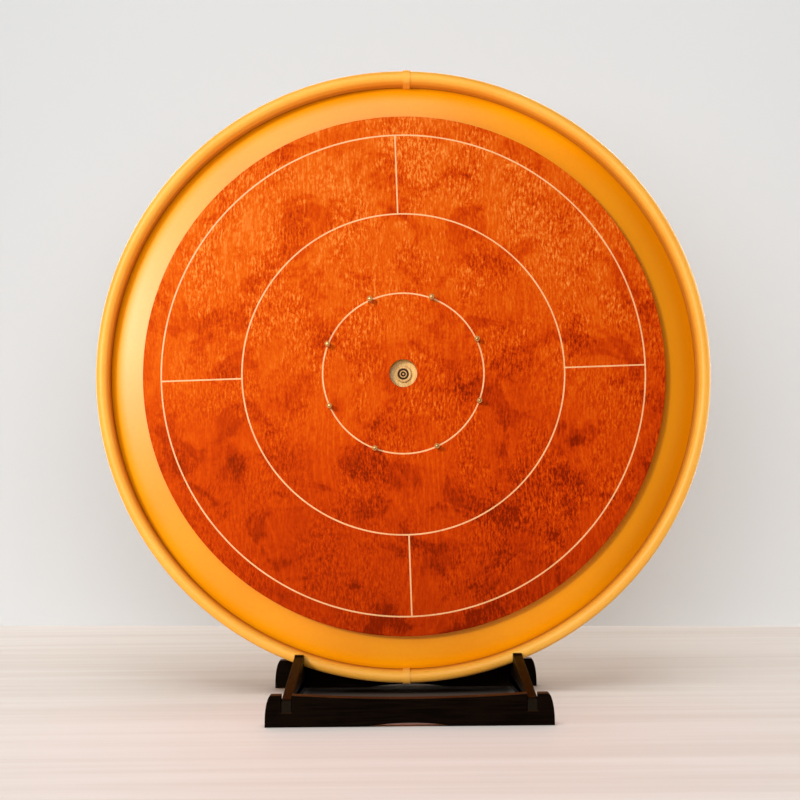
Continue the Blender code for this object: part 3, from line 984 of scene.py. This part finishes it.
def darkWood(name, along):
    # along is 0 where the grain runs along x, and 1 where it runs along y
    finish = Finish(name, Specular_IOR_Level=0.05, Specular_Tint=(1.0, 0.75, 0.5, 1))
    scale = (14, 420, 420) if along == 0 else (420, 14, 420)
    finer = [value * 1.7 for value in scale]
    fibre = finish.grainNoise(scale, 4, 0.6)
    pores = finish.band(finish.grainNoise(finer, 2, 0.5, (3, 3, 3)), 0.58, 0.68)
    cloud = finish.grainNoise((22, 22, 22), 3, 0.5)
    tone = finish.band(fibre * 0.7 + cloud * 0.3, 0.36, 0.66)
    color = finish.mix((0.0018, 0.0010, 0.0005), (0.0070, 0.0030, 0.0015), tone)
    color = finish.mix(color, (0.003, 0.0015, 0.001), pores)
    if along == 0:
        # painted highlight: faces that point up are painted lighter brown, standing in for the warm light
        # falling on the planks' tops
        normal = finish.node("NewGeometry", output="Normal")
        upwardLit = finish.band(finish.parts(normal)[2], 0.3, 0.8)
        color = finish.mix(color, finish.mix((0.030, 0.010, 0.004), (0.075, 0.028, 0.011), tone), upwardLit)
    else:
        # painted highlight: the noses' front ends are painted lighter grey, standing in for the light they
        # catch
        y = finish.parts(finish.place)[1]
        sawnEndGlint = finish.band(y, stand["frontY"] + 4 * mm, stand["frontY"] + 1 * mm)
        color = finish.mix(color, (0.012, 0.0085, 0.0055), sawnEndGlint)
    finish.set("Base Color", color)
    finish.set("Roughness", 0.44 + (fibre - 0.5) * 0.25 + pores * 0.1)
    finish.bump(fibre - pores * 0.6, 0.00012)
    return finish


plankWood = darkWood("darkWoodAcross", 0)
plateWood = darkWood("darkWoodAlong", 1)


def plankSide(end):
    # the right half of a plank's outline, from its foot over the slot towards the middle
    endSteps, topSteps = stand["endSteps"], stand["topSteps"]
    slotHalf = stand["thickness"] / 2 + stand["gap"]
    slotMiddle = stand["spacing"] / 2
    top, middle = stand["endHeight"], stand["middleHeight"]
    right = [(end, 0)]
    for step in range(endSteps + 1):
        angle = math.pi / 2 * step / endSteps
        inward = stand["endCurve"] * (1 - math.cos(angle))
        right.append((end - inward, stand["endFoot"] + (top - stand["endFoot"]) * math.sin(angle)))
    right += [(slotMiddle + slotHalf, top), (slotMiddle + slotHalf, stand["slotFloor"])]
    right += [(slotMiddle - slotHalf, stand["slotFloor"])]
    inner = slotMiddle - slotHalf
    for step in range(topSteps):
        x = inner * (1 - step / topSteps)
        right.append((x, middle + (top - middle) * (x / inner) ** 2))
    return right


def buildPlank(name, node, frontY, length, shift=0.0):
    left = [(-x, z) for x, z in reversed(plankSide(length / 2 - shift))]
    arch = []
    for step in range(stand["archSteps"] + 1):
        share = step / stand["archSteps"]
        rise = stand["archRise"] * math.sin(math.pi * share) ** 2
        arch.append((stand["archHalf"] * (2 * share - 1), rise))
    outline = plankSide(length / 2 + shift) + [(0, stand["middleHeight"])] + left + arch
    bm = sawn(outline, stand["thickness"], stand["ease"], "Y")
    place = Matrix.Translation((stand["x"], frontY, 0))
    meshPiece(name, bm, plankWood, "stand", place, [node])


def boardPoint(up, forward):
    point = faceCentre + upFace * up + outOfFace * forward
    return point.y, point.z


def buildPlate(name, node, side):
    # the notch's seat follows the rail's outline at the plate's inner face
    middleX = stand["x"] + side * stand["spacing"] / 2
    nearest = min(abs(middleX - stand["thickness"] / 2), abs(middleX + stand["thickness"] / 2))
    gap = stand["gap"]
    seatUp = -math.sqrt(rail["outside"] ** 2 - nearest**2) - gap
    ahead = rail["top"] + stand["clearance"]
    behind = base["back"] - stand["clearance"]
    hornUp = (stand["hornTop"] - faceCentre.z - ahead * outOfFace.z) / upFace.z
    backUp = (stand["backHornTop"] - faceCentre.z - behind * outOfFace.z) / upFace.z
    hornY, hornZ = boardPoint(hornUp, ahead)
    backY, backZ = boardPoint(backUp, behind)
    frontEnd = stand["frontY"] + stand["thickness"] + gap
    rearStart = stand["rearY"] - gap
    rearEnd = stand["rearY"] + stand["thickness"] + gap
    overSlot = stand["slotFloor"] + gap
    lift, thin, thick = stand["lift"], stand["hornThickness"], stand["backHornThickness"]
    corners = [
        (stand["frontY"], overSlot, 0),
        (stand["frontY"], overSlot + stand["noseLip"], 0.5 * mm),
        (stand["frontY"] + stand["noseChamfer"], stand["noseTop"], 3.0 * mm),
        (hornY - thin, stand["hornTop"] - 1.5 * mm, 1.5 * mm),
        (hornY - thin + 1.5 * mm, stand["hornTop"], 1.0 * mm),
        (hornY, hornZ, 0.8 * mm),
        (*boardPoint(seatUp, ahead), 0.6 * mm),
        (*boardPoint(seatUp, behind), 0.6 * mm),
        (backY, backZ, 0.8 * mm),
        (backY + thick - 3 * mm, stand["backHornTop"], 2.0 * mm),
        (backY + thick, stand["backHornTop"] - 3 * mm, 2.0 * mm),
        (rearEnd + 8 * mm, stand["endHeight"] + 12 * mm, 6.0 * mm),
        (stand["tailY"] - 3 * mm, stand["tailTop"], 2.0 * mm),
        (stand["tailY"], stand["tailTop"] - 3 * mm, 2.0 * mm),
        (stand["tailY"], 0, 0.8 * mm),
        (stand["tailY"] - stand["tailFoot"], 0, 0.8 * mm),
        (stand["tailY"] - stand["tailFoot"] - lift, lift, 1.0 * mm),
        (rearEnd, lift, 0.5 * mm),
        (rearEnd, overSlot, 0),
        (rearStart, overSlot, 0),
        (rearStart, lift, 0.5 * mm),
        (frontEnd, lift, 0.5 * mm),
        (frontEnd, overSlot, 0),
    ]
    outline = list(reversed(fillet(corners, 3)))
    bm = sawn(outline, stand["thickness"], stand["ease"], "X")
    place = Matrix.Translation((middleX - stand["thickness"] / 2, 0, 0))
    meshPiece(name, bm, plateWood, "stand", place, [node])


buildPlank("frontPlank", "front_plank", stand["frontY"], stand["frontLength"])
buildPlank("rearPlank", "rear_plank", stand["rearY"], stand["rearLength"], stand["rearShift"])
buildPlate("sidePlateLeft", "side_plate_left", -1)
buildPlate("sidePlateRight", "side_plate_right", 1)
print("stand built")


# each piece goes in the groups of the lights that fall on it
for item in bpy.context.scene.objects:
    if item.type == "MESH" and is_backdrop(item):
        lightGroups[item.name].objects.link(item)
    elif item.type == "MESH":
        lightGroups["object"].objects.link(item)
        if item.get("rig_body") == "board":
            lightGroups["board"].objects.link(item)
        if item.name.startswith("rail"):
            lightGroups["rail"].objects.link(item)
